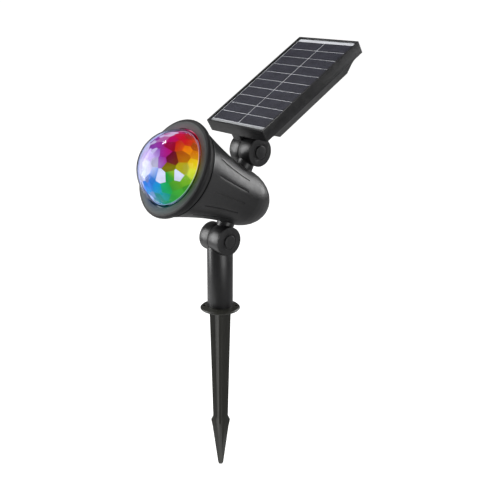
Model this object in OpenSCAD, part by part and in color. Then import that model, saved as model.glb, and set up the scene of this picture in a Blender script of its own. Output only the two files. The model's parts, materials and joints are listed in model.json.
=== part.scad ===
// Solar garden projector light on a ground spike.
// The origin is on the pole's axis where the flange rests on the ground, +Z is up, both hinge
// axes run along X, and the light shines towards -Y and up. All sizes are in millimetres.

/* [Ground spike] */
// Diameter of the flange that rests on the ground
flange_d = 35.8; // [34:0.2:40]
// Thickness of the flange beside the pole
flange_t = 3.2; // [3:0.1:4]
// Thickness of the flange near its rounded edge
flange_edge_t = 2; // [1.8:0.1:2.6]
// Distance between the two screw holes in the flange
flange_hole_gap = 28; // [27:0.5:29]
// Diameter of a screw hole in the flange
flange_hole_d = 3.2; // [2.8:0.1:3.6]
// Length of the spike below the flange
spike_len = 160; // [120:5:200]
// Width over the ribs just under the flange
spike_top_w = 18.8; // [17:0.2:20]
// Width over the ribs just above the barbs
spike_low_w = 13.8; // [12:0.2:15]
// Width over the barbs
barb_w = 17.6; // [15.6:0.2:18]
// Width of the blunt tip
tip_w = 4.4; // [3.6:0.2:5]
// Thickness of a rib
rib_t = 2.6; // [2:0.1:3.2]
// Turn of the spike about the pole's axis, in degrees
spike_turn = 50.8; // [0:0.2:90]

/* [Pole and hinges] */
// Outer diameter of the pole
pole_d = 23; // [22:0.5:24]
// Height of the lower hinge axis above the ground
lower_hinge_z = 65.8; // [64:0.2:100]
// Diameter of a hinge knuckle
knuckle_d = 25.5; // [25:0.1:26]
// Length of a hinge from one end face to the other
hinge_len = 26.7; // [26.5:0.1:28]
// Diameter of the pivot bolt's shank
bolt_d = 5; // [4:0.5:5]
// Diameter of the round neck that carries a knuckle
neck_d = 15.4; // [14:0.2:17]

/* [Head] */
// Tilt of the light beam above the horizon, in degrees
head_tilt = 26.9; // [15:0.1:40]
// Largest diameter of the front ring
ring_d = 85.6; // [84:0.2:87]
// Length of the head behind the rim
head_len = 109; // [104:0.5:112]
// Diameter of the head's body ahead of its rounded rear
body_d = 50.8; // [50:0.2:52]
// Wall thickness of the housing
shell_wall = 2.3; // [2:0.1:2.6]
// Number of long grooves round the housing
groove_count = 16; // [8:1:24]
// Radius of the clear dome
dome_r = 33.6; // [33.4:0.1:34]
// Lower hinge: distance behind the rim
lower_back = 74.5; // [72:0.5:78]
// Lower hinge: distance below the head's axis
lower_drop = 40; // [39.5:0.1:44]
// Upper hinge: distance behind the rim
upper_back = 71.6; // [70:0.1:76]
// Upper hinge: distance above the head's axis
upper_rise = 41.8; // [40:0.1:45]

/* [Solar panel] */
// Tilt of the panel, in degrees
panel_tilt = 31; // [20:0.5:45]
// Width of the panel
panel_w = 75; // [73:0.5:80]
// Length of the panel
panel_len = 129.8; // [128:0.2:140]
// Thickness of the panel's frame
frame_t = 11; // [10.8:0.1:12]
// Distance of the panel's face above its hinge axis
panel_rise = 30.2; // [29.5:0.1:34]
// Distance of the panel's front edge ahead of its hinge axis
panel_ahead = 4.4; // [3:0.1:8]
// Depth of the battery cover under the frame
cover_depth = 9.4; // [9:0.1:9.6]
// Rows of solar cells along the panel
cell_rows = 10; // [6:1:12]

/* [Hidden] */
$fn = 96;
eps = 0.01;

// Colours
black_plastic = [0.09, 0.09, 0.09];
spike_plastic = [0.17, 0.17, 0.15];
ring_grey = [0.30, 0.31, 0.31];
clear = [0.85, 0.93, 1, 0.35];
steel = [0.72, 0.72, 0.74];
rubber = [0.05, 0.05, 0.05];
board_green = [0.05, 0.32, 0.16];
wire_red = [0.65, 0.08, 0.07];
cell_blue = [0.16, 0.17, 0.22];
pale_backing = [0.78, 0.79, 0.82];
cell_wrap = [0.12, 0.33, 0.55];

// Clearances
running = 0.06;         // round a turning or sliding part
swing_gap = 0.35;       // between a knuckle and the saddle it swings in
face_gap = 0.05;        // between faces that slide past each other
slack = 0.1;            // round a bolt in its knuckle and round the front collar

// Y and Z of the rim's centre and of the upper hinge's axis
rim_y = -lower_back * cos(head_tilt) + lower_drop * sin(head_tilt);
rim_z = lower_hinge_z + lower_back * sin(head_tilt) + lower_drop * cos(head_tilt);
upper_y = rim_y + upper_back * cos(head_tilt) + upper_rise * sin(head_tilt);
upper_z = rim_z - upper_back * sin(head_tilt) + upper_rise * cos(head_tilt);

// Hinge: from -X to +X a fixed knuckle, a washer, a turning knuckle, and a cap with a boss
knuckle_r = knuckle_d / 2;
half_hinge = hinge_len / 2;
washer_t = 0.6;
washer_r = knuckle_r - 0.3;
gap_x = -2;                           // end face of the fixed knuckle
turn_x0 = gap_x + washer_t;           // end face of the turning knuckle
cap_t = 1.35;
seam_x = half_hinge - cap_t;          // where the cap meets the turning knuckle
bolt_r = bolt_d / 2;
bolt_end_x = -half_hinge + 1;
bolt_head_r = 4.2;
bolt_head_t = 3.9;
hex_key = 4;                          // width of the bolt's hexagon socket
counterbore_x = 7;
counterbore_r = 5.2;
nut_flat_d = 8;
nut_t = 4;
cap_plug = 0.8;                       // how far the cap's plug reaches into the counterbore
cap_edge = 0.4;
cap_seam = [0.6, 0.35];               // depth and width of the seam behind the cap
cap_boss_r = 5.7;
cap_boss_h = 1.3;
cap_groove_r = 7.2;
cap_groove_h = 0.7;
wire_track_r = 7;                     // distance from the bolt at which the lead crosses
wire_r = 1.1;
wire_hole_r = 1.6;

// Spike and pole
pole_r = pole_d / 2;
pole_bore_r = 9.2;
spigot_top_z = 34;
spigot_wall = 3;
core_scale = 0.46;                    // width of the spike's core over its width
barb_z = -spike_len + 47;

// Head, in its own frame: z forward along the beam from the rim, y up, x as in the row
body_r = body_d / 2;
flare = ring_d / 2 - 3.2 - body_r;    // how much wider the housing is at its front
flare_from = 8;                       // where the housing starts behind the rim
waist = 74;                           // where the flare ends and the rounded rear begins
ring_back = 7.5;
collar_r = 37.2;                      // collar that the front ring fits over
collar_bore_r = 34.8;
collar_h = 8;
groove_w = 1;
groove_depth = 0.5;
groove_from = 20;
groove_len = 44;
board_z = -16;
board_t = 1.6;
board_r = 31;
post_at = 27.5;                       // distance of the board's posts from the head's axis
post_r = 3;
post_foot_z = -39;
post_bore = [1.25, 10];               // radius and depth of a post's screw hole
spot_at = 12;                         // distance of the light chips from the head's axis
motor_r = 12;
motor_len = 18;
motor_front_z = board_z - board_t - 4;
shaft_r = 1.5;
control_z = -86;                      // rear edge of the control board
rail_at = 19;
rail = [12, 5, 28];
rail_slot = [3, 1.6];
dome_z = -4.3;                        // centre of the dome's sphere
dome_wall = 1.8;
dome_flange = [37, 1.95];             // radius and thickness of the dome's flange
dome_flange_z = -2.6;
seal_t = 1.4;
crystal_gap = 0.8;
crystal_wall = 1.8;
rotor_r = 30.8;
rotor_t = 1.4;

// Panel, in its own frame: origin on the hinge axis, y up the slope, z out of the face
frame_base = panel_rise - frame_t;
cover_base = frame_base - cover_depth;
panel_y0 = -panel_ahead;
panel_mid = panel_y0 + panel_len / 2;
frame_wall = 5;
frame_floor = 2;
frame_corner_r = 0.8;
rim_t = 1.8;                          // width of the frame's rim beside the clear sheet
face_corner_r = 1.5;
face_w = panel_w - 2 * rim_t;
face_len = panel_len - 2 * rim_t;
backing_z = panel_rise - 2.4;
cells_z = backing_z + 1.1;
cell_t = 0.3;
glass_z = panel_rise - 1;
glass_t = 0.8;
neck_inset = 1.3;                     // how far the neck stands in from the knuckle's end
neck_y = [-2.8, 8.6];                // front and rear of the neck
cover_wall = 2;
cover_lip = 0.8;                      // thickness of the cover's edge against the frame
cover_inset = 1.2;
seal_mid = 62;
seal_size = [66, 94];
seal_w = 1.5;
seal_depth = 1.2;
screw_at = [[-27, 21], [27, 21], [-27, 98], [27, 98]];
screw_post_r = 3.6;
button_at = [0, 30];
button_r = 4.5;
button_lip = 1;
battery_r = 7.1;
battery_y = 46;
battery_len = 48.5;
battery_x = 14;
battery_z = cover_base + cover_wall + battery_r + 0.3;
contact_y = [40.6, 96.35];
board_top = cover_base + 10.5;        // top of the charge board

module in_lower_hinge() translate([0, 0, lower_hinge_z]) children();
module in_upper_hinge() translate([0, upper_y, upper_z]) children();
module in_head() translate([0, rim_y, rim_z]) rotate([90 - head_tilt, 0, 0]) children();
module in_panel() in_upper_hinge() rotate([panel_tilt, 0, 0]) children();

// A cylinder along X from x0 to x1
module rod(x0, x1, r) translate([x0, 0, 0]) rotate([0, 90, 0]) cylinder(h = x1 - x0, r = r);

// A block centred in x and y that stands on z = 0
module block(w, l, h) translate([-w / 2, -l / 2, 0]) cube([w, l, h]);

// A tube of radius r along a path of points, eight sides, with rings square to the path
module lead(path, r) {
    sides = 8;
    last = len(path) - 1;
    ring = function(i)
        let (
            d = path[min(i + 1, last)] - path[max(i - 1, 0)],
            t = d / norm(d),
            u = cross(t, abs(t.x) < 0.9 ? [1, 0, 0] : [0, 1, 0]),
            a = u / norm(u),
            b = cross(t, a)
        )
        [for (k = [0:sides - 1]) path[i] + r * (cos(45 * k) * a + sin(45 * k) * b)];
    points = [for (i = [0:last]) each ring(i)];
    walls = [
        for (i = [0:last - 1], k = [0:sides - 1])
            let (n = (k + 1) % sides)
            [i * sides + n, i * sides + k, (i + 1) * sides + k, (i + 1) * sides + n]
    ];
    start = [for (k = [0:sides - 1]) k];
    end = [for (k = [sides - 1:-1:0]) last * sides + k];
    polyhedron(points = points, faces = concat([start], walls, [end]));
}

// Points on a smooth curve through the corners of a path
function smooth(p, n = 4) = [
    for (i = [0:len(p) - 2], k = [0:n - 1])
        let (
            a = p[max(i - 1, 0)], b = p[i], c = p[i + 1], d = p[min(i + 2, len(p) - 1)], t = k / n
        )
        0.5 * (2 * b + (c - a) * t + (2 * a - 5 * b + 4 * c - d) * t ^ 2
            + (3 * b - a - 3 * c + d) * t ^ 3),
    p[len(p) - 1]
];

// ---------------------------------------------------------------- ground spike

// Half width over the ribs, from the underside of the flange to the tip
rib_outline = [
    [spike_top_w / 2 + 0.6, 0],
    [spike_top_w / 2, -8],
    [spike_low_w / 2, barb_z + 4],
    [barb_w / 2, barb_z],
    [barb_w / 2 - 1.2, barb_z - 6],
    [tip_w / 2 + 0.3, -spike_len + 2],
    [tip_w / 2 - 0.6, -spike_len]
];

// The outline scaled in width and mirrored, stood up in the XZ plane and given a thickness
module spike_plate(scale_w, t) {
    right = [for (p = rib_outline) [p.x * scale_w, p.y]];
    left = [for (i = [len(right) - 1:-1:0]) [-right[i].x, right[i].y]];
    rotate([90, 0, 0]) linear_extrude(height = t, center = true) polygon(concat(right, left));
}

module ground_spike() {
    color(spike_plastic) rotate([0, 0, spike_turn]) difference() {
        union() {
            rotate_extrude() polygon([
                [0, 0], [flange_d / 2 - 0.7, 0], [flange_d / 2, 0.7], [flange_d / 2, 1.1],
                [flange_d / 2 - 0.9, flange_edge_t], [pole_r, flange_t],
                [pole_bore_r - running, flange_t], [pole_bore_r - running, spigot_top_z - 1],
                [pole_bore_r - running - 1, spigot_top_z], [0, spigot_top_z]
            ]);
            spike_plate(1, rib_t);
            rotate([0, 0, 90]) spike_plate(1, rib_t);
            rotate([0, 0, 45]) intersection() {
                spike_plate(core_scale, 2 * spike_top_w);
                rotate([0, 0, 90]) spike_plate(core_scale, 2 * spike_top_w);
            }
        }
        for (side = [-1, 1])
            translate([side * flange_hole_gap / 2, 0, -eps])
                cylinder(h = flange_t + 2 * eps, d = flange_hole_d);
        translate([0, 0, flange_t + 2]) cylinder(h = spigot_top_z, r = pole_bore_r - spigot_wall);
    }
}

// ---------------------------------------------------------------- hinge parts

// The knuckle that the bolt and its nut stay in
module fixed_knuckle() rod(-half_hinge, gap_x, knuckle_r);

module fixed_knuckle_holes() {
    rod(-half_hinge - 1, gap_x + 1, bolt_r + slack);
    translate([-half_hinge - 1, 0, 0]) rotate([0, 90, 0])
        cylinder(h = nut_t + 2, d = (nut_flat_d + 2 * slack) / cos(30), $fn = 6);
}

// The knuckle that turns on the bolt
module turning_knuckle() rod(turn_x0, seam_x, knuckle_r);

module turning_knuckle_holes() {
    rod(turn_x0 - 1, seam_x, bolt_r + running);
    rod(counterbore_x, seam_x + 1, counterbore_r);
}

// Room for the knuckle of the other part
module swing_room(x0, x1) rod(x0, x1, knuckle_r + swing_gap);

module pivot_bolt() color(steel) difference() {
    union() {
        rod(bolt_end_x, counterbore_x + face_gap + eps, bolt_r);
        rod(counterbore_x + face_gap, counterbore_x + bolt_head_t, bolt_head_r);
    }
    translate([counterbore_x + bolt_head_t - 2, 0, 0]) rotate([0, 90, 0])
        cylinder(h = 3, d = hex_key / cos(30), $fn = 6);
}

module pivot_nut() color(steel) difference() {
    translate([bolt_end_x, 0, 0]) rotate([0, 90, 0])
        cylinder(h = nut_t - slack, d = nut_flat_d / cos(30), $fn = 6);
    rod(-half_hinge, 0, bolt_r);
}

module friction_washer() color(rubber) difference() {
    rod(gap_x, turn_x0 - face_gap, washer_r);
    rod(gap_x - 1, 0, bolt_r + running);
}

// Round cover with a ring groove about a raised boss, and a plug behind it
module hinge_cap() color(black_plastic) rotate([0, 90, 0]) rotate_extrude() polygon([
    [0, seam_x], [counterbore_r - 1, seam_x], [counterbore_r - 1, seam_x - cap_plug],
    [counterbore_r - running, seam_x - cap_plug], [counterbore_r - running, seam_x],
    [knuckle_r - cap_seam[0], seam_x], [knuckle_r - cap_seam[0], seam_x + cap_seam[1]],
    [knuckle_r, seam_x + cap_seam[1]], [knuckle_r, half_hinge - cap_edge],
    [knuckle_r - cap_edge, half_hinge], [cap_groove_r, half_hinge],
    [cap_groove_r, half_hinge - cap_groove_h], [cap_boss_r, half_hinge - cap_groove_h],
    [cap_boss_r, half_hinge + cap_boss_h - cap_edge],
    [cap_boss_r - cap_edge, half_hinge + cap_boss_h], [0, half_hinge + cap_boss_h]
]);

// ---------------------------------------------------------------- pole

module pole() color(black_plastic) difference() {
    union() {
        difference() {
            translate([0, 0, flange_t]) cylinder(h = lower_hinge_z - flange_t, r = pole_r);
            in_lower_hinge() swing_room(gap_x, pole_r + 1);
        }
        in_lower_hinge() fixed_knuckle();
    }
    translate([0, 0, flange_t - eps]) cylinder(h = spigot_top_z + 8, r = pole_bore_r);
    in_lower_hinge() fixed_knuckle_holes();
}

// ---------------------------------------------------------------- head

// Radius of the housing at distance s behind the rim
function shell_r(s) =
    s < waist
        ? body_r + flare * ((waist - s) / (waist - flare_from)) ^ 1.5
        : body_r * sqrt(max(0, 1 - ((s - waist) / (head_len - waist)) ^ 2));

// Outline of the housing made smaller by inset, from distance s0 behind the rim to its rear
function shell_outline(s0, inset) =
    let (
        flare_steps = [for (k = [0:13]) s0 + (waist - s0) * k / 14],
        rear = [for (k = [0:10]) 90 * k / 10]
    )
    concat(
        [[0, -s0]],
        [for (s = flare_steps) [shell_r(s) - inset, -s]],
        [for (a = rear) [(body_r - inset) * cos(a), -waist - (head_len - inset - waist) * sin(a)]]
    );

module shell_solid(s0, inset) rotate_extrude() polygon(shell_outline(s0, inset));

module grooves() intersection() {
    difference() {
        shell_solid(groove_from, -1);
        shell_solid(groove_from - 1, groove_depth);
    }
    for (k = [0:groove_count - 1])
        rotate([0, 0, (k + 0.5) * 360 / groove_count])
            translate([-groove_w / 2, 0, -groove_from - groove_len])
                cube([groove_w, ring_d, groove_len]);
}

// Three places round the head's axis, between the light chips
module post_places() for (k = [0:2]) rotate([0, 0, 30 + 120 * k]) translate([post_at, 0, 0])
    children();

module board_posts() post_places() difference() {
    translate([0, 0, post_foot_z])
        cylinder(h = board_z - board_t - post_foot_z, r = post_r);
    translate([0, 0, board_z - board_t - post_bore[1]])
        cylinder(h = post_bore[1] + 1, r = post_bore[0]);
}

// Two slotted rails that hold the control board's edges
module board_rails() intersection() {
    shell_solid(40, 1);
    for (side = [-1, 1])
        translate([side * rail_at - rail.x / 2, -rail.y / 2, control_z - 2]) difference() {
            cube(rail);
            translate([(rail.x - side * rail.x - rail_slot.x) / 2, (rail.y - rail_slot.y) / 2, -1])
                cube([rail_slot.x, rail_slot.y, rail.z + 2]);
        }
}

module head_shell() color(black_plastic) in_head() difference() {
    union() {
        difference() {
            union() {
                shell_solid(flare_from + 0.2, 0);
                translate([0, -lower_drop, -lower_back]) rotate([-90, 0, 0])
                    cylinder(h = 22, d = neck_d);
                translate([0, upper_rise, -upper_back]) rotate([90, 0, 0])
                    cylinder(h = 22, d = neck_d);
            }
            shell_solid(flare_from + 0.2, shell_wall);
            translate([0, -lower_drop, -lower_back])
                swing_room(-half_hinge - 1, turn_x0);
            translate([0, upper_rise, -upper_back])
                swing_room(-half_hinge - 1, turn_x0);
            grooves();
        }
        translate([0, -lower_drop, -lower_back]) turning_knuckle();
        translate([0, upper_rise, -upper_back]) turning_knuckle();
        board_posts();
        board_rails();
        translate([0, 0, -flare_from - collar_h / 2]) difference() {
            cylinder(h = collar_h, r = collar_r);
            translate([0, 0, -1]) cylinder(h = collar_h + 2, r = collar_bore_r);
        }
    }
    translate([0, -lower_drop, -lower_back]) turning_knuckle_holes();
    translate([0, upper_rise, -upper_back]) {
        turning_knuckle_holes();
        difference() {
            rod(turn_x0 - 1, 2.6, wire_track_r + wire_hole_r);
            rod(turn_x0 - 2, 3, wire_track_r - wire_hole_r);
        }
        translate([1, 0, 0]) rotate([90, 0, 0]) translate([0, 0, wire_track_r - wire_hole_r])
            cylinder(h = 24, r = wire_hole_r);
    }
}

module front_ring() color(ring_grey) in_head() {
    lip = [for (a = [90:-18:0]) [ring_d / 2 - 2.8 + 2.8 * cos(a), -1.2 + 2.8 * sin(a)]];
    rotate_extrude() polygon(concat(
        [[dome_r + 0.4, 1.9]], lip,
        [[ring_d / 2 - 1.5, -4], [shell_r(flare_from) + 0.1, -ring_back],
        [collar_r + slack, -ring_back], [collar_r + slack, -0.6], [dome_r + 0.4, -0.6]]
    ));
}

// Clear dome with a flange that the front ring holds down
module dome_cover() color(clear) in_head() difference() {
    union() {
        intersection() {
            translate([0, 0, dome_z]) sphere(r = dome_r);
            translate([0, 0, dome_flange_z]) cylinder(h = 2 * dome_r, r = 2 * dome_r);
        }
        translate([0, 0, dome_flange_z]) cylinder(h = dome_flange[1], r = dome_flange[0]);
    }
    translate([0, 0, dome_z]) sphere(r = dome_r - dome_wall);
}

module dome_seal() color(rubber) in_head() translate([0, 0, dome_flange_z - seal_t])
    difference() {
        cylinder(h = seal_t, r = dome_flange[0]);
        translate([0, 0, -1]) cylinder(h = seal_t + 2, r = dome_flange[0] - 2);
    }

module led_board() color([0.9, 0.9, 0.88]) in_head() difference() {
    translate([0, 0, board_z - board_t]) cylinder(h = board_t, r = board_r);
    translate([0, 0, board_z - board_t - 1]) cylinder(h = board_t + 2, r = 4);
    post_places() translate([0, 0, board_z - board_t - 1])
        cylinder(h = board_t + 2, r = 1.7);
}

module led_spots() for (k = [0:3]) rotate([0, 0, 45 + 90 * k]) translate([spot_at, 0, board_z])
    children();

module led_chips() color([1, 0.9, 0.6]) in_head() led_spots() block(5, 5, 1.4);

// Small bowls that gather the light of each chip
module led_lenses() color(clear) in_head() led_spots() difference() {
    translate([0, 0, 2]) cylinder(h = 6, r1 = 4.2, r2 = 6.4);
    translate([0, 0, 1]) cylinder(h = 3, r = 3.2);
}

module board_screws() color(steel) in_head() post_places() translate([0, 0, board_z]) {
    cylinder(h = 1.8, r = 2.8);
    translate([0, 0, -9]) cylinder(h = 9.1, r = 1.2);
}

// Plate on the motor's front with four feet against the board
module motor_bracket() color(steel) in_head() translate([0, 0, motor_front_z]) difference() {
    union() {
        cylinder(h = 1.5, r = 17);
        for (k = [0:3]) rotate([0, 0, 90 * k]) translate([14.5, 0, 0]) cylinder(h = 4, r = 2);
    }
    translate([0, 0, -1]) cylinder(h = 6, r = 4.2);
}

module drive_motor() color(steel) in_head() translate([0, 0, motor_front_z]) difference() {
    union() {
        translate([0, 0, -motor_len]) cylinder(h = motor_len, r = motor_r);
        translate([0, 0, -0.1]) cylinder(h = 2, r = 4);
    }
    translate([0, 0, -8]) cylinder(h = 20, r = shaft_r + running);
}

module control_board() color(board_green) in_head() {
    translate([-13, -0.7, control_z]) cube([26, 1.4, 30]);
    translate([-6, 0.7 - eps, control_z + 10]) cube([8, 2, 8]);
    translate([5, 0.7 - eps, control_z + 20]) cube([4, 3, 4]);
}

module head_lead() color(wire_red) in_head()
    lead(smooth([
        [1, upper_rise - wire_track_r - 0.8, -upper_back], [1, 30, -upper_back],
        [1, 20, -upper_back + 1], [0, 12, -66], [0, 5, -59], [0, 1.9, -57]
    ]), wire_r);

module lower_hinge_cap() in_lower_hinge() hinge_cap();
module upper_hinge_cap() in_upper_hinge() hinge_cap();

// ---------------------------------------------------------------- crystal rotor

module crystal_dome() color(clear) in_head() difference() {
    intersection() {
        translate([0, 0, dome_z]) sphere(r = dome_r - dome_wall - crystal_gap);
        translate([0, 0, rotor_t]) cylinder(h = 2 * dome_r, r = 2 * dome_r);
    }
    translate([0, 0, dome_z]) sphere(r = dome_r - dome_wall - crystal_gap - crystal_wall);
}

module rotor_plate() color(clear) in_head() difference() {
    union() {
        cylinder(h = rotor_t, r = rotor_r);
        translate([0, 0, -6]) cylinder(h = 6.1, r = 3.2);
    }
    translate([0, 0, -7]) cylinder(h = 6, r = shaft_r);
}

module motor_shaft() color(steel) in_head() translate([0, 0, motor_front_z - 6])
    cylinder(h = 25, r = shaft_r);

// ---------------------------------------------------------------- solar panel

module panel_outline(inset, r) translate([0, panel_mid])
    rounded(panel_w - 2 * inset, panel_len - 2 * inset, r);

// A rectangle with corners of radius r
module rounded(w, l, r) {
    square([w - 2 * r, l], center = true);
    square([w, l - 2 * r], center = true);
    for (x = [-1, 1], y = [-1, 1]) translate([x * (w / 2 - r), y * (l / 2 - r)]) circle(r = r);
}

module slab(z0, z1, inset, r) translate([0, 0, z0]) linear_extrude(height = z1 - z0)
    panel_outline(inset, r);

// Neck between the frame and its knuckle, made larger all round by grow
module panel_neck(grow) translate([-half_hinge + neck_inset - grow, neck_y[0] - grow, 0])
    cube([half_hinge - neck_inset + gap_x + 2 * grow, neck_y[1] - neck_y[0] + 2 * grow,
        frame_base + 1]);

module panel_frame() color(black_plastic) in_panel() difference() {
    union() {
        difference() {
            union() {
                slab(frame_base, panel_rise, 0, frame_corner_r);
                panel_neck(0);
            }
            slab(backing_z, panel_rise + 1, rim_t, face_corner_r);
            slab(frame_base + frame_floor, panel_rise, frame_wall, 2);
            translate([0, seal_mid, frame_base - 1]) block(46, 72, frame_floor + 2);
            swing_room(gap_x, half_hinge + 1);
        }
        fixed_knuckle();
        for (p = screw_at) translate([p.x, p.y, frame_base + frame_floor - 0.1])
            cylinder(h = 4.6, r = 3.4);
    }
    fixed_knuckle_holes();
    translate([-6, 0, wire_track_r]) cylinder(h = 20, r = wire_hole_r);
    translate([0, 0, wire_track_r]) rod(-7, gap_x + 1, wire_hole_r);
    for (p = screw_at) translate([p.x, p.y, frame_base - 1]) cylinder(h = 6.5, r = post_bore[0]);
    seal_ring(-eps, seal_depth + 0.1);
}

// Square ring round the battery cover's rim, standing up from the frame's underside
module seal_ring(z0, h) translate([0, seal_mid, frame_base + z0]) linear_extrude(height = h)
    difference() {
        rounded(seal_size.x, seal_size.y, 2 * seal_w);
        rounded(seal_size.x - 2 * seal_w, seal_size.y - 2 * seal_w, seal_w);
    }

module cover_seal() color(rubber) in_panel() seal_ring(0, seal_depth);

// The battery cover's solid: a tub with sloped sides and ends that sweep up to the frame
module tub(inset) {
    top = frame_base - 0.7;
    base = cover_base + inset;
    sweep_r = 9;
    sweep_a = 50;
    drop = top - sweep_r * (1 - cos(sweep_a)) - base;
    run = drop / tan(sweep_a);
    front = 1.5 + inset;
    back = panel_y0 + panel_len - 8.4 - inset;
    arc = [for (a = [0:10:sweep_a]) [sweep_r * sin(a), top - sweep_r * (1 - cos(a))]];
    end = sweep_r * sin(sweep_a) + run;
    side = concat(
        [for (p = arc) [front + p.x, p.y]], [[front + end, base], [back - end, base]],
        [for (i = [len(arc) - 1:-1:0]) [back - arc[i].x, arc[i].y]]
    );
    half_top = panel_w / 2 - cover_inset - inset;
    half_base = half_top - 4.8;
    intersection() {
        rotate([90, 0, 90]) linear_extrude(height = 2 * panel_w, center = true) polygon(side);
        translate([0, -20, 0]) rotate([-90, 0, 0]) linear_extrude(height = 2 * panel_len)
            polygon([[-half_top, -top], [half_top, -top], [half_base, -base],
                [-half_base, -base]]);
    }
}

module battery_cover() color(black_plastic) in_panel() difference() {
    union() {
        difference() {
            union() {
                tub(0);
                translate([0, panel_mid, frame_base - cover_lip])
                    block(panel_w - 2 * cover_inset, panel_len - 13, cover_lip);
            }
            tub(cover_wall);
            translate([0, seal_mid - 3, frame_base - 1]) block(60, 88, 2);
            panel_neck(swing_gap);
        }
        for (p = screw_at) translate([p.x, p.y, cover_base + 0.5])
            cylinder(h = cover_depth - 0.5, r = screw_post_r);
        translate([button_at.x, button_at.y, cover_base]) cylinder(h = 3.4, r = button_r + 3);
    }
    for (p = screw_at) translate([p.x, p.y, 0]) {
        cylinder(h = panel_rise, r = 1.6);
        cylinder(h = cover_base + 2.2, r = 3);
    }
    translate([button_at.x, button_at.y, 0]) {
        cylinder(h = 20, r = button_r + running);
        translate([0, 0, cover_base + 1.6]) cylinder(h = 20, r = button_r + button_lip + 0.4);
    }
}

module cover_screws() color(steel) in_panel() for (p = screw_at)
    translate([p.x, p.y, cover_base]) {
        translate([0, 0, 0.4]) cylinder(h = 1.8, r = 2.6);
        translate([0, 0, 2]) cylinder(h = cover_depth + 3.2, r = 1.2);
    }

module pv_backing() color(pale_backing) in_panel()
    slab(backing_z, cells_z, rim_t, face_corner_r);

// Two columns of cells on the backing, which shows as thin lines between them
module solar_cells() color(cell_blue) in_panel() {
    side_gap = 1.7;
    end_gap = 4.2;
    centre_gap = 1.2;
    row_gap = 0.8;
    cell_w = (face_w - 2 * side_gap - centre_gap) / 2;
    pitch = (face_len - 2 * end_gap + row_gap) / cell_rows;
    y0 = panel_y0 + rim_t + end_gap;
    for (side = [-1, 1], row = [0:cell_rows - 1])
        translate([side * (centre_gap + cell_w) / 2 - cell_w / 2, y0 + row * pitch, cells_z])
            cube([cell_w, pitch - row_gap, cell_t]);
}

module panel_glass() color(clear) in_panel()
    slab(glass_z, glass_z + glass_t, rim_t, face_corner_r);

// One AA size cell, with its raised terminal towards +Y
module battery() color(cell_wrap) in_panel() translate([battery_x, battery_y, battery_z])
    rotate([-90, 0, 0]) {
        cylinder(h = battery_len, r = battery_r);
        cylinder(h = battery_len + 1.5, r = 2.6);
    }

// A tab at each end of the cell, and a coil between the near tab and the cell
module battery_contacts() color(steel) in_panel() {
    for (y = contact_y) translate([battery_x, y, battery_z - 5]) block(9, 0.6, 10);
    for (k = [0:4])
        translate([battery_x, contact_y[0] + 0.8 + k * 0.9, battery_z]) rotate([-90, 0, 0])
            difference() {
                cylinder(h = 0.6, r = 4.6 - 0.4 * k);
                translate([0, 0, -1]) cylinder(h = 3, r = 3.6 - 0.4 * k);
            }
}

module charge_board() color(board_green) in_panel() {
    translate([-9, 36, board_top - 1.4]) block(26, 18, 1.4);
    translate([-16, 38, board_top - 0.1]) block(8, 6, 1.8);
}

module tact_switch() color([0.15, 0.15, 0.16]) in_panel()
    translate([button_at.x, button_at.y, cover_base + 5.2]) {
        translate([0, 0, 1.2]) block(6, 6, 2.7);
        cylinder(h = 1.3, r = 1.7);
    }

module mode_button() color(rubber) in_panel() translate([button_at.x, button_at.y, cover_base]) {
    translate([0, 0, -1.6]) cylinder(h = 5.6, r = button_r);
    translate([0, 0, 1.7]) cylinder(h = 1.2, r = button_r + button_lip);
}

module panel_lead() color(wire_red) in_panel()
    lead(smooth([
        [gap_x - 0.3, 0, wire_track_r], [-4.6, 0, wire_track_r], [-6, 0, wire_track_r + 1.6],
        [-6, 0, 12], [-6, 0, frame_base + 2.4], [-7, 4, frame_base + 4.9],
        [-9, 16, frame_base + 4.9], [-10, 27, board_top + 3], [-11, 31, board_top + 1.6]
    ]), wire_r);

module lower_pivot_bolt() in_lower_hinge() pivot_bolt();
module lower_pivot_nut() in_lower_hinge() pivot_nut();
module lower_friction_washer() in_lower_hinge() friction_washer();
module upper_pivot_bolt() in_panel() pivot_bolt();
module upper_pivot_nut() in_panel() pivot_nut();
module upper_friction_washer() in_panel() friction_washer();

ground_spike();
pole();
lower_pivot_bolt();
lower_pivot_nut();
lower_friction_washer();
head_shell();
front_ring();
dome_cover();
dome_seal();
led_board();
led_chips();
led_lenses();
board_screws();
motor_bracket();
drive_motor();
control_board();
head_lead();
lower_hinge_cap();
upper_hinge_cap();
crystal_dome();
rotor_plate();
motor_shaft();
panel_frame();
battery_cover();
cover_seal();
cover_screws();
pv_backing();
solar_cells();
panel_glass();
battery();
battery_contacts();
charge_board();
tact_switch();
panel_lead();
upper_pivot_bolt();
upper_pivot_nut();
upper_friction_washer();
mode_button();
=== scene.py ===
"""Looks of the solar projector light on a ground spike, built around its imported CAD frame."""
import json
import math
import random

import bmesh
import bpy
from mathutils import Matrix, Vector


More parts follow.
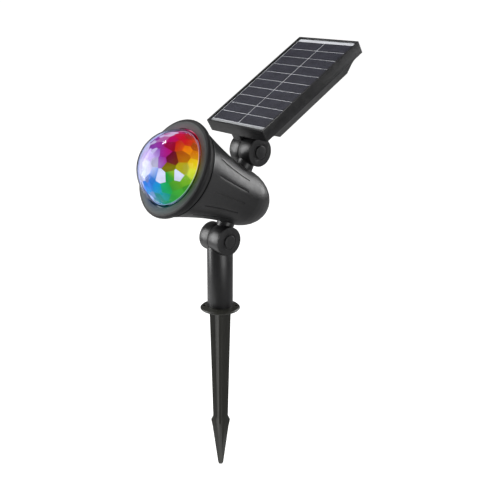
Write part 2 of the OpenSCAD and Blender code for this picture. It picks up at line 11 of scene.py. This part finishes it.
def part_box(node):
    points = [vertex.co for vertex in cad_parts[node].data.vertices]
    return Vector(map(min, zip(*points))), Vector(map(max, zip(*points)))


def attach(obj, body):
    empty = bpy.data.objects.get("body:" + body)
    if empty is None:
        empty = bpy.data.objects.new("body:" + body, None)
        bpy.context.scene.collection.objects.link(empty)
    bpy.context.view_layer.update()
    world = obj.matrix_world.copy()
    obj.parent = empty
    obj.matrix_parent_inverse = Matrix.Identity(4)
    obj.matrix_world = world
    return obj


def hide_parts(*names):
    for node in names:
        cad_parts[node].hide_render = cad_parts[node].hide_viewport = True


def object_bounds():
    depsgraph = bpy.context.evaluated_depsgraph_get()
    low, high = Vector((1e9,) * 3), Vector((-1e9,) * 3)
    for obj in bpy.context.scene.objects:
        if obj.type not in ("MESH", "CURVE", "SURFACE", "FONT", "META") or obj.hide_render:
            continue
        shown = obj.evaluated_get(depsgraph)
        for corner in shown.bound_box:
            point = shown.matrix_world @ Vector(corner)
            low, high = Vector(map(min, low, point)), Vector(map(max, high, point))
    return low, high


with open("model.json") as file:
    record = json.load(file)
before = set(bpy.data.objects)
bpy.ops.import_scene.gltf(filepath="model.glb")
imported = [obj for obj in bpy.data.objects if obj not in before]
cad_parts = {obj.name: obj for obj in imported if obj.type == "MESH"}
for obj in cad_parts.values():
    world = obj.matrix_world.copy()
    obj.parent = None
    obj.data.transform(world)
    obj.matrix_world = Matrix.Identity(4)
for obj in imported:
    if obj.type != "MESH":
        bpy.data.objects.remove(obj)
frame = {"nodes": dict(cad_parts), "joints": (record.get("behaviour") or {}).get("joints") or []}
cad_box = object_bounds()
joints = {joint["name"]: joint for joint in frame["joints"]}
MM = 0.001


def axis_frame(origin, z_axis):
    """Matrix of a frame whose X is the row's X and whose Z is z_axis."""
    z = Vector(z_axis).normalized()
    x = Vector((1, 0, 0))
    y = z.cross(x)
    turn = Matrix((x, y, z)).transposed().to_4x4()
    return Matrix.Translation(Vector(origin)) @ turn


# The head's frame has Z along the beam, and the panel's has Z out of its face
HEAD = axis_frame(joints["crystal_spin"]["pos_m"], joints["crystal_spin"]["axis"])
PANEL = axis_frame(joints["panel_tilt"]["pos_m"], joints["button_press"]["axis"])


# ---------------------------------------------------------------- mesh helpers

def new_object(name, bm, material, body, smooth=35):
    """Makes an object of a bmesh, shaded smooth except at edges sharper than smooth degrees."""
    bmesh.ops.recalc_face_normals(bm, faces=bm.faces)
    mesh = bpy.data.meshes.new(name)
    bm.to_mesh(mesh)
    bm.free()
    mesh.materials.append(material)
    for face in mesh.polygons:
        face.use_smooth = smooth > 0
    if smooth > 0:
        mesh.set_sharp_from_angle(angle=math.radians(smooth))
    piece = bpy.data.objects.new(name, mesh)
    bpy.context.scene.collection.objects.link(piece)
    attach(piece, body)
    return piece


def cad_bmesh(node):
    """A clean bmesh of a CAD node: welded, with its flat faces in one piece."""
    source = frame["nodes"][node].data
    bm = bmesh.new()
    for vertex in source.vertices:
        bm.verts.new(vertex.co)
    bm.verts.ensure_lookup_table()
    for face in source.polygons:
        bm.faces.new([bm.verts[i] for i in face.vertices])
    bmesh.ops.remove_doubles(bm, verts=bm.verts, dist=0.002 * MM)
    bmesh.ops.dissolve_limit(bm, angle_limit=math.radians(0.6), verts=bm.verts, edges=bm.edges)
    return bm


def softened(node, material, body, width, angle=28, segments=2):
    """A copy of a CAD node with its hard edges rounded, which stands for the node."""
    piece = new_object(node + "_look", cad_bmesh(node), material, body)
    bevel = piece.modifiers.new("rounding", "BEVEL")
    bevel.width = width
    bevel.segments = segments
    bevel.limit_method = "ANGLE"
    bevel.angle_limit = math.radians(angle)
    bevel.use_clamp_overlap = True
    apply_modifiers(piece)
    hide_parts(node)
    return piece


def apply_modifiers(piece, smooth=35):
    """Bakes the modifiers of a piece into its mesh and shades it again."""
    graph = bpy.context.evaluated_depsgraph_get()
    mesh = bpy.data.meshes.new_from_object(piece.evaluated_get(graph))
    piece.modifiers.clear()
    piece.data = mesh
    mesh.set_sharp_from_angle(angle=math.radians(smooth))


def lathe(profile, steps=128, closed=True):
    """A bmesh of a profile of (radius, z) points turned about Z."""
    bm = bmesh.new()
    rings = []
    for radius, z in profile:
        if radius < 1e-7:
            rings.append([bm.verts.new((0, 0, z))] * steps)
            continue
        turns = [2 * math.pi * k / steps for k in range(steps)]
        rings.append([bm.verts.new((radius * math.cos(a), radius * math.sin(a), z)) for a in turns])
    pairs = list(zip(rings, rings[1:] + rings[:1] if closed else rings[1:]))
    for low, high in pairs:
        for k in range(steps):
            n = (k + 1) % steps
            corners = list(dict.fromkeys((low[k], low[n], high[n], high[k])))
            if len(corners) > 2:
                bm.faces.new(corners)
    return bm


def arc(centre, radius, start, end, steps):
    """Points (x, y) on an arc, with its angles in degrees."""
    angles = [math.radians(start + (end - start) * k / steps) for k in range(steps + 1)]
    return [(centre[0] + radius * math.cos(a), centre[1] + radius * math.sin(a)) for a in angles]


# ---------------------------------------------------------------- materials

def linear(colour):
    """A display colour as the linear one that a shader takes, with alpha 1."""
    return tuple(c / 12.92 if c <= 0.04045 else ((c + 0.055) / 1.055) ** 2.4 for c in colour) + (1,)


def new_material(name):
    material = bpy.data.materials.new(name)
    material.use_nodes = True
    return material, material.node_tree, material.node_tree.nodes["Principled BSDF"]


def noise(tree, size, detail=3):
    """Noise whose features are about size metres across, in the piece's own coordinates."""
    coordinates = tree.nodes.new("ShaderNodeTexCoord")
    texture = tree.nodes.new("ShaderNodeTexNoise")
    texture.inputs["Scale"].default_value = 1 / size
    texture.inputs["Detail"].default_value = detail
    tree.links.new(coordinates.outputs["Object"], texture.inputs["Vector"])
    return texture.outputs["Fac"]


def ramp(tree, factor, stops):
    """A colour ramp over a factor, with stops of (position, linear colour)."""
    node = tree.nodes.new("ShaderNodeValToRGB")
    elements = node.color_ramp.elements
    while len(elements) < len(stops):
        elements.new(0.5)
    for element, (position, colour) in zip(elements, stops):
        element.position = position
        element.color = colour
    tree.links.new(factor, node.inputs["Fac"])
    return node.outputs["Color"]


def spread(tree, factor, low, high):
    """Maps the middle of a noise's range to low..high."""
    node = tree.nodes.new("ShaderNodeMapRange")
    node.inputs["From Min"].default_value = 0.3
    node.inputs["From Max"].default_value = 0.7
    node.inputs["To Min"].default_value = low
    node.inputs["To Max"].default_value = high
    tree.links.new(factor, node.inputs["Value"])
    return node.outputs["Result"]


def bump(tree, height, depth):
    """A normal from a height between 0 and 1, depth metres deep."""
    node = tree.nodes.new("ShaderNodeBump")
    node.inputs["Strength"].default_value = 1
    node.inputs["Distance"].default_value = depth
    tree.links.new(height, node.inputs["Height"])
    return node.outputs["Normal"]


def shade(colour, factor):
    return tuple(c * factor for c in colour[:3]) + (1,)


def moulded(name, colour, rough, grain=0.45 * MM, depth=0.02 * MM, patches=0.14, gloss_level=0.5):
    """Moulded plastic: faint patches of shade, a spark-eroded grain and an uneven gloss."""
    material, tree, shader = new_material(name)
    base = linear(colour)
    wide = noise(tree, 22 * MM)
    tones = [(0.3, shade(base, 1 - patches)), (0.7, shade(base, 1 + patches))]
    tree.links.new(ramp(tree, wide, tones), shader.inputs["Base Color"])
    gloss = spread(tree, noise(tree, 6 * MM), rough - 0.05, rough + 0.05)
    tree.links.new(gloss, shader.inputs["Roughness"])
    tree.links.new(bump(tree, noise(tree, grain, 2), depth), shader.inputs["Normal"])
    shader.inputs["Specular IOR Level"].default_value = gloss_level
    return material


def painted_glow(material, strength):
    """Lets a material also give off the glow colours painted on its piece: painted light, on parts that
    are no lamp.
    """
    tree = material.node_tree
    glow = tree.nodes.new("ShaderNodeAttribute")
    glow.attribute_name = GLOW
    shader = tree.nodes["Principled BSDF"]
    tree.links.new(glow.outputs["Color"], shader.inputs["Emission Color"])
    shader.inputs["Emission Strength"].default_value = strength
    return material


def clear_glazing(name, colour, rough=0.02, ior=1.49):
    """Clear moulded plastic that bends the light passing through it."""
    material, tree, shader = new_material(name)
    shader.inputs["Base Color"].default_value = linear(colour)
    shader.inputs["IOR"].default_value = ior
    shader.inputs["Transmission Weight"].default_value = 1
    tree.links.new(spread(tree, noise(tree, 8 * MM), rough, rough + 0.03), shader.inputs["Roughness"])
    return material


def clear_film(name, alpha, rough=0.12):
    """A thin clear sheet over something dark: only its gloss and a slight haze show."""
    material, tree, shader = new_material(name)
    shader.inputs["Base Color"].default_value = (0.02, 0.02, 0.025, 1)
    shader.inputs["Alpha"].default_value = alpha
    tree.links.new(spread(tree, noise(tree, 8 * MM), rough, rough + 0.08), shader.inputs["Roughness"])
    return material


def along_x(tree):
    """The row's X coordinate."""
    coordinates = tree.nodes.new("ShaderNodeTexCoord")
    parts = tree.nodes.new("ShaderNodeSeparateXYZ")
    tree.links.new(coordinates.outputs["Object"], parts.inputs["Vector"])
    return parts.outputs["X"]


def calculate(tree, operation, *inputs):
    """A Math node; an input is a socket or a number."""
    node = tree.nodes.new("ShaderNodeMath")
    node.operation = operation
    for socket, value in zip(node.inputs, inputs):
        if isinstance(value, (int, float)):
            socket.default_value = value
        else:
            tree.links.new(value, socket)
    return node.outputs["Value"]


def silicon(name):
    """A dark solar cell: mottled slate with fine pale fingers along the panel."""
    material, tree, shader = new_material(name)
    finger_pitch = 1.7 * MM
    finger_share = 0.1
    slates = [(0.3, linear((0.15, 0.15, 0.19))), (0.7, linear((0.20, 0.20, 0.245)))]
    mottle = ramp(tree, noise(tree, 9 * MM), slates)
    phase = calculate(tree, "FRACT", calculate(tree, "DIVIDE", along_x(tree), finger_pitch))
    finger = calculate(tree, "LESS_THAN", phase, finger_share)
    mix = tree.nodes.new("ShaderNodeMix")
    mix.data_type = "RGBA"
    tree.links.new(calculate(tree, "MULTIPLY", finger, 0.5), mix.inputs["Factor"])
    tree.links.new(mottle, mix.inputs["A"])
    mix.inputs["B"].default_value = linear((0.42, 0.43, 0.48))
    tree.links.new(mix.outputs["Result"], shader.inputs["Base Color"])
    tree.links.new(spread(tree, noise(tree, 4 * MM), 0.3, 0.4), shader.inputs["Roughness"])
    return material


def brushed(name, colour, rough, metal=1.0):
    """Plated or tinned metal with fine streaks."""
    material, tree, shader = new_material(name)
    base = linear(colour)
    streaks = noise(tree, 0.4 * MM, 4)
    tones = [(0.3, shade(base, 0.85)), (0.7, base)]
    tree.links.new(ramp(tree, streaks, tones), shader.inputs["Base Color"])
    gloss = spread(tree, noise(tree, 2 * MM), rough - 0.06, rough + 0.08)
    tree.links.new(gloss, shader.inputs["Roughness"])
    tree.links.new(bump(tree, streaks, 0.01 * MM), shader.inputs["Normal"])
    shader.inputs["Metallic"].default_value = metal
    return material


def lit_facets(name):
    """Coloured crystal lit from behind: that light is painted on as the facets' own glow colours."""
    material, tree, shader = new_material(name)
    glow = tree.nodes.new("ShaderNodeAttribute")
    glow.attribute_name = GLOW
    cloud = ramp(tree, noise(tree, 5 * MM), [(0.25, (0.8, 0.8, 0.8, 1)), (0.75, (1, 1, 1, 1))])
    mix = tree.nodes.new("ShaderNodeMix")
    mix.data_type = "RGBA"
    mix.blend_type = "MULTIPLY"
    mix.inputs["Factor"].default_value = 1
    tree.links.new(glow.outputs["Color"], mix.inputs["A"])
    tree.links.new(cloud, mix.inputs["B"])
    shader.inputs["Base Color"].default_value = (0.01, 0.01, 0.01, 1)
    tree.links.new(mix.outputs["Result"], shader.inputs["Emission Color"])
    shader.inputs["Emission Strength"].default_value = 1.12
    shader.inputs["Specular IOR Level"].default_value = 0.06
    tree.links.new(spread(tree, noise(tree, 3 * MM), 0.08, 0.16), shader.inputs["Roughness"])
    return material


GLOW = "glow"
BLACK = moulded("black_plastic", (0.085, 0.085, 0.09), 0.36)
SPIKE = moulded("spike_plastic", (0.13, 0.13, 0.11), 0.36, grain=0.6 * MM)
# The ring's face carries painted light: a faint glow of the crystal's colours
RING = painted_glow(moulded("ring_plastic", (0.29, 0.305, 0.305), 0.62, gloss_level=0.12), 0.8)
CAP = moulded("cap_plastic", (0.09, 0.09, 0.095), 0.42)
RING_SIDE = moulded("ring_side", (0.10, 0.10, 0.105), 0.55, gloss_level=0.25)
RUBBER = moulded("rubber_black", (0.1, 0.1, 0.1), 0.7, grain=0.3 * MM)
CLEAR_DOME = clear_glazing("clear_dome", (0.88, 0.90, 1.0), ior=1.14)
# The outside of the dome's foot: dark, with painted light of the crystal's colours as a glow
DOME_EDGE = painted_glow(moulded("dome_edge", (0.05, 0.05, 0.06), 0.2, patches=0.05), 1.0)
CLEAR_SHEET = clear_film("clear_sheet", 0.07)
CLEAR_PART = clear_glazing("clear_part", (0.92, 0.95, 1.0))
CELLS = silicon("silicon_cells")
BACKING = moulded("pale_backing", (0.93, 0.94, 0.96), 0.5, grain=0.8 * MM, patches=0.04)
RIBBON = brushed("tinned_ribbon", (0.80, 0.81, 0.82), 0.35, metal=0.4)
STEEL = brushed("zinc_plated", (0.72, 0.72, 0.74), 0.32)
MOTOR = brushed("motor_can", (0.70, 0.70, 0.72), 0.38)
BOARD_WHITE = moulded("board_white", (0.90, 0.90, 0.88), 0.4, grain=0.5 * MM, patches=0.05)
BOARD_GREEN = moulded("board_green", (0.12, 0.42, 0.24), 0.35, grain=0.5 * MM)
CHIP = moulded("led_chip", (0.96, 0.88, 0.55), 0.3, patches=0.06)
WIRE = moulded("wire_sleeve", (0.68, 0.12, 0.1), 0.4, patches=0.06)
WRAP = moulded("cell_wrap", (0.16, 0.38, 0.62), 0.3, patches=0.05)
CRYSTAL = lit_facets("lit_crystal")


# ---------------------------------------------------------------- crystal

CRYSTAL_R = 31.5 * MM
SPHERE_Z = -4.3 * MM
BASE_Z = 1.4 * MM
# Display colours of the crystal's painted glow round its face, evenly spaced, from its yellow side on
# towards the panel
WHEEL = [
    (0.95, 0.90, 0.05),     # yellow
    (0.95, 0.50, 0.00),     # orange
    (0.80, 0.00, 0.05),     # red
    (0.80, 0.00, 0.45),     # magenta
    (0.60, 0.25, 0.70),     # violet
    (0.90, 0.80, 0.95),     # lilac
    (1.00, 1.00, 1.00),     # white
    (0.15, 0.50, 0.90),     # blue
    (0.00, 0.65, 0.65),     # teal
    (0.10, 0.65, 0.25),     # green
    (0.30, 0.70, 0.15),     # leaf green
    (0.60, 0.80, 0.10),     # lime
]
WHEEL_AXIS = Vector((0.6, -0.1, 0.8)).normalized()
YELLOW_SIDE = Vector((1, 0.2, 0.3))
# Share of full light, and share of white, of the facets round the wheel's middle
CORE_TONES = [(0.3, 0.0), (1.0, 0.0), (0.9, 0.4), (1.0, 0.9)]


def wheel_colour(direction):
    """The linear colour of the wheel in a direction."""
    side = (YELLOW_SIDE - YELLOW_SIDE.dot(WHEEL_AXIS) * WHEEL_AXIS).normalized()
    up = WHEEL_AXIS.cross(side)
    turn = math.atan2(direction.dot(up), direction.dot(side)) / (2 * math.pi) % 1
    low, mix = divmod(turn * len(WHEEL), 1)
    ends = [Vector(linear(WHEEL[k % len(WHEEL)])[:3]) for k in (int(low), int(low) + 1)]
    return ends[0].lerp(ends[1], mix)


def paint_glow(bm, face_colour):
    """Gives each corner of a bmesh in the head's frame the glow that face_colour returns."""
    layer = bm.loops.layers.float_color.new(GLOW)
    for face in bm.faces:
        for loop in face.loops:
            loop[layer] = (*face_colour(loop.vert.co), 1)


def edge_glow(point):
    """The wheel's colour at the rim, on the side of the head's axis that a point is on."""
    rise = max(0.1 * MM, 0.55 * math.hypot(point.x, point.y))
    return wheel_colour(Vector((point.x, point.y, rise)).normalized())


def facet_directions(rng):
    """Directions of the facets, spaced out at random, closer on the -X side."""
    tries = 9000
    wide_gap, narrow_gap = 0.205, 0.205 * 0.62
    found = []
    for _ in range(tries):
        d = Vector((rng.gauss(0, 1), rng.gauss(0, 1), abs(rng.gauss(0, 1)))).normalized()
        gap = narrow_gap if d.x < 0.1 else wide_gap
        if all(d.angle(other) > gap for other in found):
            found.append(d)
    return found


def crystal_rim_piece():
    """The bead round the crystal's foot, lit in the wheel's colours."""
    bead_side = 0.35 * MM
    pale = Vector((0.25, 0.25, 0.25))
    bm = lathe(arc((CRYSTAL_R, BASE_Z + 0.4 * MM), bead_side, 45, 360, 7))
    paint_glow(bm, lambda co: edge_glow(co) * 0.8 + pale)
    bm.transform(HEAD)
    new_object("crystal_rim", bm, CRYSTAL, "crystal")


def crystal_piece():
    """A many-sided crystal: a block cut by one plane for each facet."""
    rng = random.Random(11)
    directions = facet_directions(rng)
    centre = Vector((0, 0, SPHERE_Z))
    plane_r = CRYSTAL_R * 0.988
    core = 0.4                      # reach of the wheel's middle, in radians
    wander = 0.14                   # how far a facet's colour strays round the wheel
    glare_colour = Vector((0.95, 0.93, 1.0))
    glare_x = 0.12                  # facets on the -X side of this can have a glare
    bm = bmesh.new()
    bmesh.ops.create_cube(bm, size=4 * CRYSTAL_R)
    bmesh.ops.translate(bm, verts=bm.verts, vec=centre)
    cuts = [(centre + d * plane_r, d) for d in directions]
    cuts.append((Vector((0, 0, BASE_Z)), Vector((0, 0, -1))))
    for point, normal in cuts:
        everything = bm.verts[:] + bm.edges[:] + bm.faces[:]
        cut = bmesh.ops.bisect_plane(
            bm, geom=everything, plane_co=point, plane_no=normal, clear_outer=True)
        edges = [e for e in cut["geom_cut"] if isinstance(e, bmesh.types.BMEdge)]
        if edges:
            bmesh.ops.contextual_create(bm, geom=edges)
    # Painted light: each facet glows in the wheel's colour with a painted brightness of its own, and
    # some facets on the -X side get a painted glare of near white
    layer = bm.loops.layers.float_color.new(GLOW)
    for face in bm.faces:
        middle = (face.calc_center_median() - centre).normalized()
        shift = Vector((rng.uniform(-1, 1), rng.uniform(-1, 1), 0)) * wander
        light = rng.choice((0.65, 0.8, 0.9, 1.0, 1.0, 1.1, 1.2))
        glare = rng.choice((0.0, 0.0, 0.15, 0.6)) if middle.x < glare_x else 0.0
        if middle.angle(WHEEL_AXIS) < core:
            light, glare = rng.choice(CORE_TONES)
        for loop in face.loops:
            corner = (loop.vert.co - centre).normalized()
            colour = wheel_colour((corner * 0.5 + middle * 0.5 + shift).normalized()) * light
            colour = colour.lerp(glare_colour, glare)
            loop[layer] = (*(max(0.0, min(1.0, c)) for c in colour), 1)
    bm.transform(HEAD)
    piece = new_object("crystal_facets", bm, CRYSTAL, "crystal", smooth=0)
    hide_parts("crystal_dome")


# ---------------------------------------------------------------- pieces

def dome_piece():
    """The clear dome, whose foot is dimly lit in the crystal's colours."""
    outer, inner = 33.6 * MM, 32.9 * MM
    flange_r, flange_low, flange_high = 37 * MM, -2.6 * MM, -0.65 * MM
    foot_z = 1.7 * MM
    foot, edge, inner_edge = (
        math.degrees(math.asin((z - SPHERE_Z) / r))
        for z, r in ((foot_z, outer), (flange_high, outer), (flange_low, inner))
    )
    dome = arc((0, SPHERE_Z), outer, 90, foot, 40) + arc((0, SPHERE_Z), outer, foot - 1, edge, 3)
    bowl = arc((0, SPHERE_Z), inner, inner_edge, 90, 40)
    profile = [(max(0, r), z) for r, z in dome]
    profile += [(flange_r, flange_high), (flange_r, flange_low)] + [(max(0, r), z) for r, z in bowl]
    bm = lathe(profile, closed=False)
    bmesh.ops.remove_doubles(bm, verts=bm.verts, dist=0.001 * MM)
    for face in bm.faces:
        middle = face.calc_center_median()
        outside = math.hypot(middle.x, middle.y, middle.z - SPHERE_Z) > (outer + inner) / 2
        face.material_index = int(outside and middle.z < foot_z)
    # Painted light: the outside of the dome's foot glows in the crystal's colours, stronger towards +Y
    # of the head's frame
    paint_glow(bm, lambda co: edge_glow(co) * (0.1 + 0.5 * max(0, co.y / outer) ** 2))
    bm.transform(HEAD)
    piece = new_object("dome_clear", bm, CLEAR_DOME, "head")
    piece.data.materials.append(DOME_EDGE)
    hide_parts("dome_cover")


def ring_piece():
    """The front ring: a dark rounded lip and side, and a grey face that slopes in a little and carries
    a painted glow of the crystal's colours.
    """
    lip_r = 2.8 * MM
    outer_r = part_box("front_ring")[1].x
    inner_r, bore_r = 34.0 * MM, 37.3 * MM
    face_z, inner_z, step_z, back_z = 1.6 * MM, 1.75 * MM, -0.6 * MM, -7.5 * MM
    face_r = outer_r - lip_r
    lip = arc((face_r, face_z - lip_r), lip_r, 90, 0, 8)
    profile = [(inner_r + 0.3 * MM, inner_z), (face_r - 0.2 * MM, inner_z - 0.02 * MM)] + lip
    profile += [(outer_r - 0.3 * MM, -2.6 * MM), (outer_r - 1.5 * MM, -4 * MM)]
    profile += [(39.6 * MM, back_z + 0.4 * MM), (39.2 * MM, back_z), (bore_r, back_z), (bore_r, step_z)]
    profile += [(inner_r, step_z), (inner_r, inner_z - 0.3 * MM)]
    bm = lathe(profile, steps=160)
    for face in bm.faces:
        middle = face.calc_center_median()
        radius = math.hypot(middle.x, middle.y)
        face.material_index = int(middle.z > face_z - 0.1 * MM and radius < face_r)

    def painted_face_glow(co):
        """Painted light from the crystal: a faint glow that fades from the dome to the lip."""
        share = max(0, (face_r - math.hypot(co.x, co.y)) / (face_r - inner_r))
        return edge_glow(co) * 0.10 * share

    paint_glow(bm, painted_face_glow)
    bm.transform(HEAD)
    piece = new_object("front_ring_look", bm, RING_SIDE, "head", smooth=50)
    piece.data.materials.append(RING)
    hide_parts("front_ring")


def ribbon_piece(name, y0, y1, material):
    """A strip across the panel, under the clear sheet."""
    half_w, z0, z1 = 34.2 * MM, 28.95 * MM, 29.1 * MM
    bm = bmesh.new()
    bmesh.ops.create_cube(bm, size=1)
    bmesh.ops.scale(bm, verts=bm.verts, vec=(2 * half_w, y1 - y0, z1 - z0))
    bmesh.ops.translate(bm, verts=bm.verts, vec=(0, (y0 + y1) / 2, (z0 + z1) / 2))
    bmesh.ops.bevel(bm, geom=bm.edges[:], offset=0.04 * MM, segments=1, affect="EDGES")
    bm.transform(PANEL)
    piece = new_object(name, bm, material, "panel")


def dress_cad_nodes():
    """Gives each CAD node that shows as it is its own material."""
    finishes = {
        "lower_pivot_bolt": STEEL, "lower_pivot_nut": STEEL, "lower_friction_washer": RUBBER,
        "dome_seal": RUBBER, "led_board": BOARD_WHITE, "led_chips": CHIP, "led_lenses": CLEAR_PART,
        "board_screws": STEEL, "motor_bracket": STEEL, "drive_motor": MOTOR,
        "control_board": BOARD_GREEN, "head_lead": WIRE, "rotor_plate": CLEAR_PART,
        "motor_shaft": STEEL, "cover_seal": RUBBER, "cover_screws": STEEL, "pv_backing": BACKING,
        "solar_cells": CELLS, "panel_glass": CLEAR_SHEET, "battery": WRAP,
        "battery_contacts": STEEL, "charge_board": BOARD_GREEN, "tact_switch": CAP,
        "panel_lead": WIRE, "upper_pivot_bolt": STEEL, "upper_pivot_nut": STEEL,
        "upper_friction_washer": RUBBER,
    }
    for node, finish in finishes.items():
        slots = frame["nodes"][node].data.materials
        for index in range(len(slots)):
            slots[index] = finish


# ---------------------------------------------------------------- stage

def outward(azimuth, elevation):
    """The direction out from the object at an azimuth (0 is -Y, 90 is +X) and an elevation."""
    a, e = math.radians(azimuth), math.radians(elevation)
    return Vector((math.sin(a) * math.cos(e), -math.cos(a) * math.cos(e), math.sin(e)))


def area_light(name, target, azimuth, elevation, distance, size, power):
    """A soft box that looks at target from an azimuth and an elevation."""
    back = outward(azimuth, elevation)
    data = bpy.data.lights.new(name, "AREA")
    data.shape = "RECTANGLE"
    data.size, data.size_y = size
    data.energy = power
    light = bpy.data.objects.new(name, data)
    light.location = target + back * distance
    light.rotation_euler = back.to_track_quat("Z", "Y").to_euler()
    bpy.context.scene.collection.objects.link(light)


def seen_plainly(tree):
    """1 where the backdrop is seen, also through something clear, and 0 where it is mirrored."""
    path = tree.nodes.new("ShaderNodeLightPath").outputs
    bounces = calculate(tree, "ADD", path["Glossy Depth"], path["Diffuse Depth"])
    return calculate(tree, "LESS_THAN", bounces, 0.5)


def build_stage():
    """Floor, world light and soft boxes. The floor is clear when seen from below."""
    centre = (cad_box[0] + cad_box[1]) / 2
    half = 60.0                     # half the floor's width, in metres
    world_light = 0.15
    bm = bmesh.new()
    floor_z = cad_box[0].z - 0.5 * MM
    corners = [(-half, -half), (half, -half), (half, half), (-half, half)]
    bm.faces.new([bm.verts.new((x, y, floor_z)) for x, y in corners])
    mesh = bpy.data.meshes.new("floor")
    bm.to_mesh(mesh)
    bm.free()
    material, tree, shader = new_material("floor_pale")
    shader.inputs["Base Color"].default_value = (0.3, 0.3, 0.3, 1)
    shader.inputs["Roughness"].default_value = 0.9
    shader.inputs["Emission Color"].default_value = (1, 1, 1, 1)
    tree.links.new(seen_plainly(tree), shader.inputs["Emission Strength"])
    from_below = tree.nodes.new("ShaderNodeNewGeometry").outputs["Backfacing"]
    mix = tree.nodes.new("ShaderNodeMixShader")
    tree.links.new(from_below, mix.inputs["Fac"])
    tree.links.new(shader.outputs["BSDF"], mix.inputs[1])
    tree.links.new(tree.nodes.new("ShaderNodeBsdfTransparent").outputs["BSDF"], mix.inputs[2])
    tree.links.new(mix.outputs["Shader"], tree.nodes["Material Output"].inputs["Surface"])
    mesh.materials.append(material)
    floor = bpy.data.objects.new("floor", mesh)
    bpy.context.scene.collection.objects.link(floor)
    world = bpy.data.worlds.new("studio")
    world.use_nodes = True
    sky = world.node_tree.nodes["Background"]
    sky.inputs["Color"].default_value = (1, 1, 1, 1)
    white = seen_plainly(world.node_tree)
    strength = calculate(world.node_tree, "MAXIMUM", white, world_light)
    world.node_tree.links.new(strength, sky.inputs["Strength"])
    bpy.context.scene.world = world
    area_light("left_box", centre, -42, 12, 1.0, (0.6, 0.9), 13)
    area_light("right_box", centre, 86, 10, 1.0, (0.6, 0.8), 5)
    area_light("rear_box", centre, 167, 22, 1.0, (0.7, 0.7), 7)
    area_light("top_box", centre, -60, 62, 1.4, (0.2, 0.2), 7)
    card_spot = Vector((-0.16, -0.19, floor_z + 0.5))
    area_light("floor_card", card_spot, 0, -90, 0.499, (0.4, 0.4), 0.4)
    bpy.context.scene.view_settings.view_transform = "Standard"


def build_camera():
    """The camera, in front, to the right and a little above."""
    azimuth, elevation = 50.82, 18.31
    data = bpy.data.cameras.new("camera")
    data.lens = 61.48
    data.sensor_width = 36
    data.shift_x = 0.041
    data.shift_y = 0.0143
    data.clip_start = 0.01
    camera = bpy.data.objects.new("camera", data)
    camera.location = (561.9 * MM, -447.1 * MM, 286.0 * MM)
    camera.rotation_euler = outward(azimuth, elevation).to_track_quat("Z", "Y").to_euler()
    bpy.context.scene.collection.objects.link(camera)
    bpy.context.scene.camera = camera


def main():
    build_camera()
    build_stage()
    dress_cad_nodes()
    softened("ground_spike", SPIKE, "spike", 0.35 * MM)
    softened("pole", BLACK, "pole", 0.15 * MM)
    softened("head_shell", BLACK, "head", 0.15 * MM)
    ring_piece()
    softened("lower_hinge_cap", CAP, "head", 0.25 * MM)
    softened("upper_hinge_cap", CAP, "head", 0.25 * MM)
    softened("panel_frame", BLACK, "panel", 0.25 * MM)
    softened("battery_cover", BLACK, "panel", 0.6 * MM)
    softened("mode_button", RUBBER, "button", 0.5 * MM)
    crystal_rim_piece()
    crystal_piece()
    dome_piece()
    ribbon_piece("front_ribbon", -1.4 * MM, 0.9 * MM, RIBBON)
    ribbon_piece("rear_strip", 119.6 * MM, 122.8 * MM, BACKING)


main()
